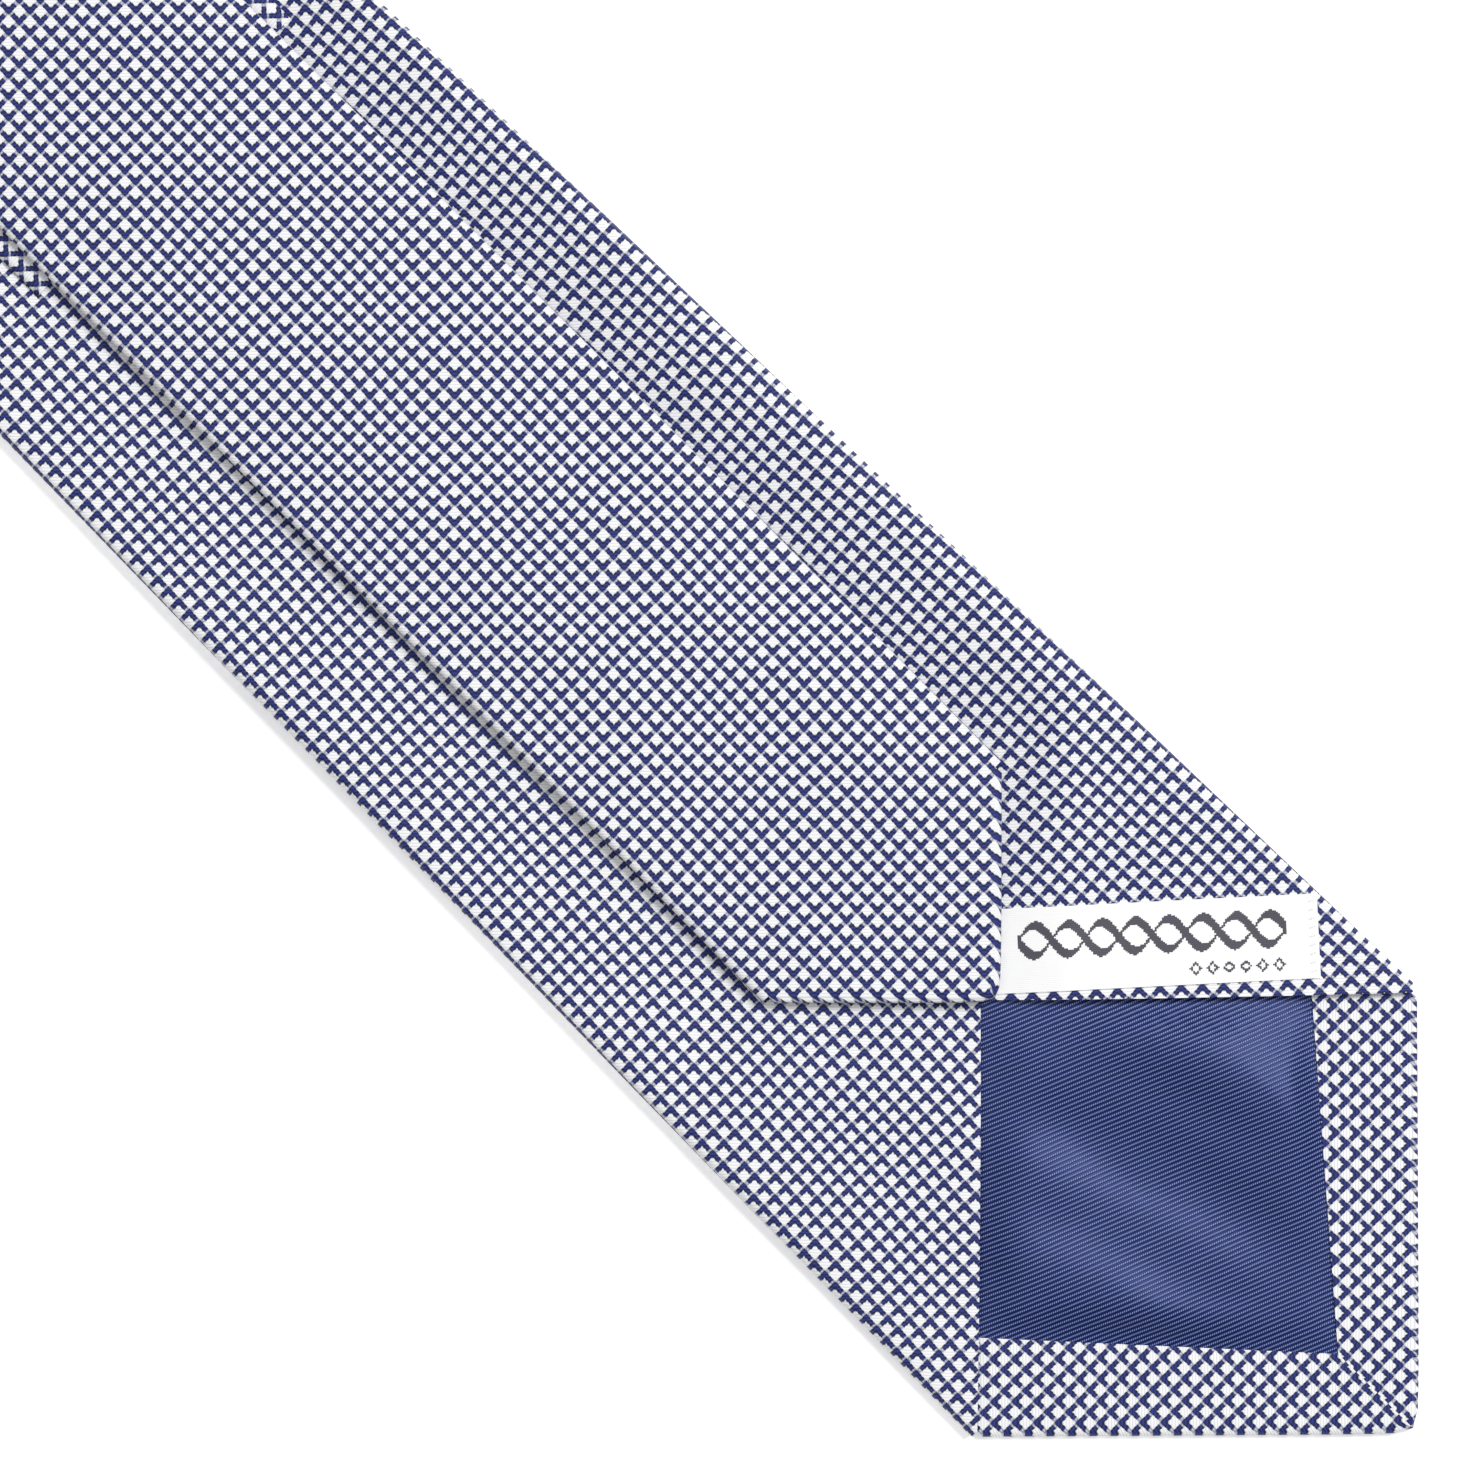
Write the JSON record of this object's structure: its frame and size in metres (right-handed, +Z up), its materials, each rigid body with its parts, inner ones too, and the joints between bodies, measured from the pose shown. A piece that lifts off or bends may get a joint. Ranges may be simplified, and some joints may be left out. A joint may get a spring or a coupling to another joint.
{
  "type": "necktie",
  "caption": "Bias-cut woven necktie folded in half at the neck, narrow tail blade over the back of the wide blade, with pointed tips, turned hems, lining, keeper loop and label.",
  "frame": {"origin": "under the middle of the folded tie, on the surface it lies on", "axes": "+X along the tie towards the wide tip, +Y across it, +Z up out of the back of the wide blade; the fold of the neck is at -X"},
  "size_m": [0.7744, 0.09, 0.0099],
  "materials": {
    "woven_silk": "navy and white figured weave, soft lustre",
    "lining_twill": "navy twill, soft lustre",
    "wool_interlining": "matt, napped",
    "label_satin": "satin",
    "navy_thread": "twisted thread",
    "white_thread": "twisted thread"
  },
  "bodies": {
    "front": {"front_blade_shell": "woven_silk", "front_interlining": "wool_interlining", "front_tipping": "lining_twill", "front_slip_stitch": "navy_thread", "front_bar_tack": "navy_thread", "keeper_loop": "woven_silk", "keeper_tack_left": "navy_thread", "keeper_tack_right": "navy_thread", "label": "label_satin", "label_stitch_left": "white_thread", "label_stitch_right": "white_thread", "neck_gusset_front": "woven_silk"},
    "neck_bridge": {"neck_gusset_fold": "woven_silk", "neck_interlining": "wool_interlining"},
    "tail": {"neck_gusset_tail": "woven_silk", "tail_blade_shell": "woven_silk", "tail_interlining": "wool_interlining", "tail_tipping": "lining_twill", "tail_slip_stitch": "navy_thread", "tail_bar_tack": "navy_thread"}
  },
  "joints": [
    {"name": "neck_fold", "type": "hinge", "parent": "front", "child": "neck_bridge", "pos_m": [-0.38599, 0, 0.00122], "axis": [0, -1, 0], "range_deg": [0, 90]},
    {"name": "neck_roll", "type": "hinge", "parent": "neck_bridge", "child": "tail", "pos_m": [-0.38599, 0, 0.00868], "axis": [0, -1, 0], "range_deg": [0, 90]}
  ]
}
